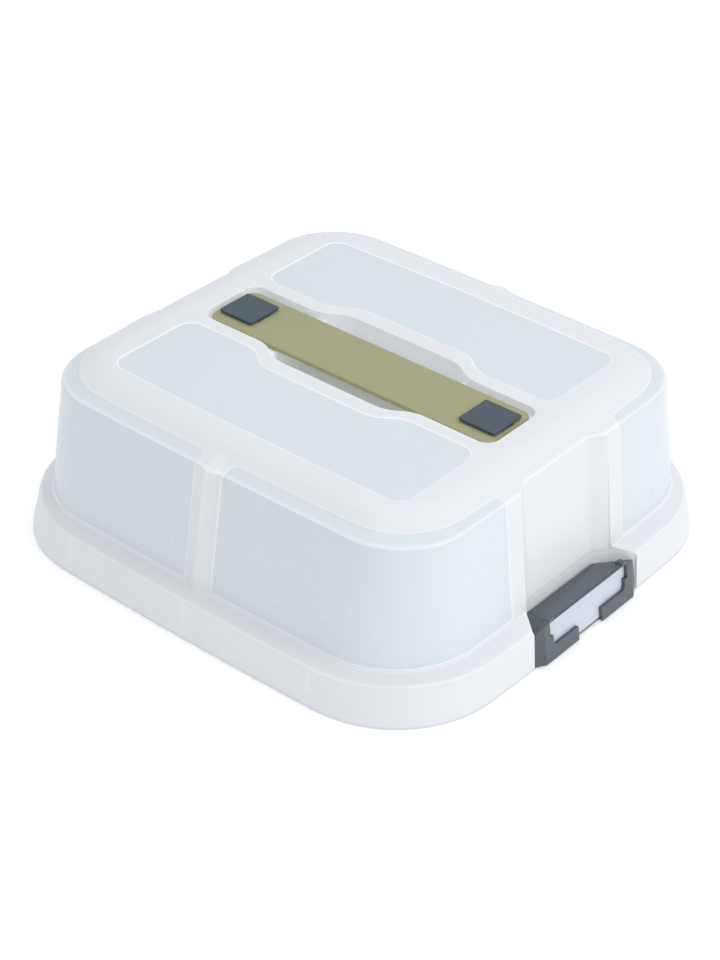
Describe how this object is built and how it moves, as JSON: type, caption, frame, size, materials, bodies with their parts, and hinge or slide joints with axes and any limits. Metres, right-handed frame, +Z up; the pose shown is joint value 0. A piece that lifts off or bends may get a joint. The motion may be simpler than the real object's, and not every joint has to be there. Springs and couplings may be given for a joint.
{
  "type": "cake carrier",
  "caption": "Rectangular cake carrier: a tall translucent hood on a low tray, clip latches with label windows, and a lift-up strap handle held by square caps.",
  "frame": {"origin": "on the table plane, under the middle of the tray", "axes": "+X along the strap handle towards the right latch, +Y across the handle towards the back, +Z up"},
  "size_m": [0.3748, 0.349, 0.1236],
  "materials": {
    "hood_plastic": "translucent frosted borders with clear windows",
    "tray_plastic": "satin white",
    "latch_plastic": "satin slate grey",
    "strap_plastic": "fine matt grain, olive",
    "cap_plastic": "satin slate",
    "card_board": "smooth white card",
    "pin_steel": "ground"
  },
  "bodies": {
    "tray": {"base_tray": "tray_plastic"},
    "hood": {"hood": "hood_plastic", "latch_pin_right": "pin_steel", "latch_pin_left": "pin_steel", "handle_cap_right": "cap_plastic", "handle_cap_left": "cap_plastic"},
    "latch_right": {"latch_right": "latch_plastic", "label_card_right": "card_board"},
    "latch_left": {"latch_left": "latch_plastic", "label_card_left": "card_board"},
    "grip": {"handle_grip": "strap_plastic"},
    "ramp_right": {"handle_ramp_right": "strap_plastic"},
    "ramp_left": {"handle_ramp_left": "strap_plastic"},
    "tab_right": {"handle_tab_right": "strap_plastic"},
    "tab_left": {"handle_tab_left": "strap_plastic"}
  },
  "joints": [
    {"name": "hood_lift", "type": "slide", "parent": "tray", "child": "hood", "axis": [0, 0, 1], "range_m": [0, 0.13]},
    {"name": "latch_right_turn", "type": "hinge", "parent": "hood", "child": "latch_right", "pos_m": [0.164, 0, 0.0196], "axis": [0, -1, 0], "range_deg": [0, 21]},
    {"name": "latch_left_turn", "type": "hinge", "parent": "hood", "child": "latch_left", "pos_m": [-0.164, 0, 0.0196], "axis": [0, 1, 0], "range_deg": [0, 21]},
    {"name": "handle_lift", "type": "slide", "parent": "hood", "child": "grip", "axis": [0, 0, 1], "range_m": [0, 0.0175]},
    {"name": "ramp_right_turn", "type": "hinge", "parent": "grip", "child": "ramp_right", "pos_m": [0.0382, 0, 0.1178], "axis": [0, 1, 0], "range_deg": [0, 25.7]},
    {"name": "tab_right_turn", "type": "hinge", "parent": "ramp_right", "child": "tab_right", "pos_m": [0.078, 0, 0.1208], "axis": [0, -1, 0], "range_deg": [0, 25.7]},
    {"name": "ramp_left_turn", "type": "hinge", "parent": "grip", "child": "ramp_left", "pos_m": [-0.0382, 0, 0.1178], "axis": [0, -1, 0], "range_deg": [0, 25.7]},
    {"name": "tab_left_turn", "type": "hinge", "parent": "ramp_left", "child": "tab_left", "pos_m": [-0.078, 0, 0.1208], "axis": [0, 1, 0], "range_deg": [0, 25.7]}
  ],
  "couplings": [
    {"joint": "ramp_right_turn", "follows": "handle_lift", "rad_per_m": 25.53},
    {"joint": "tab_right_turn", "follows": "handle_lift", "rad_per_m": 25.53},
    {"joint": "ramp_left_turn", "follows": "handle_lift", "rad_per_m": 25.53},
    {"joint": "tab_left_turn", "follows": "handle_lift", "rad_per_m": 25.53}
  ]
}
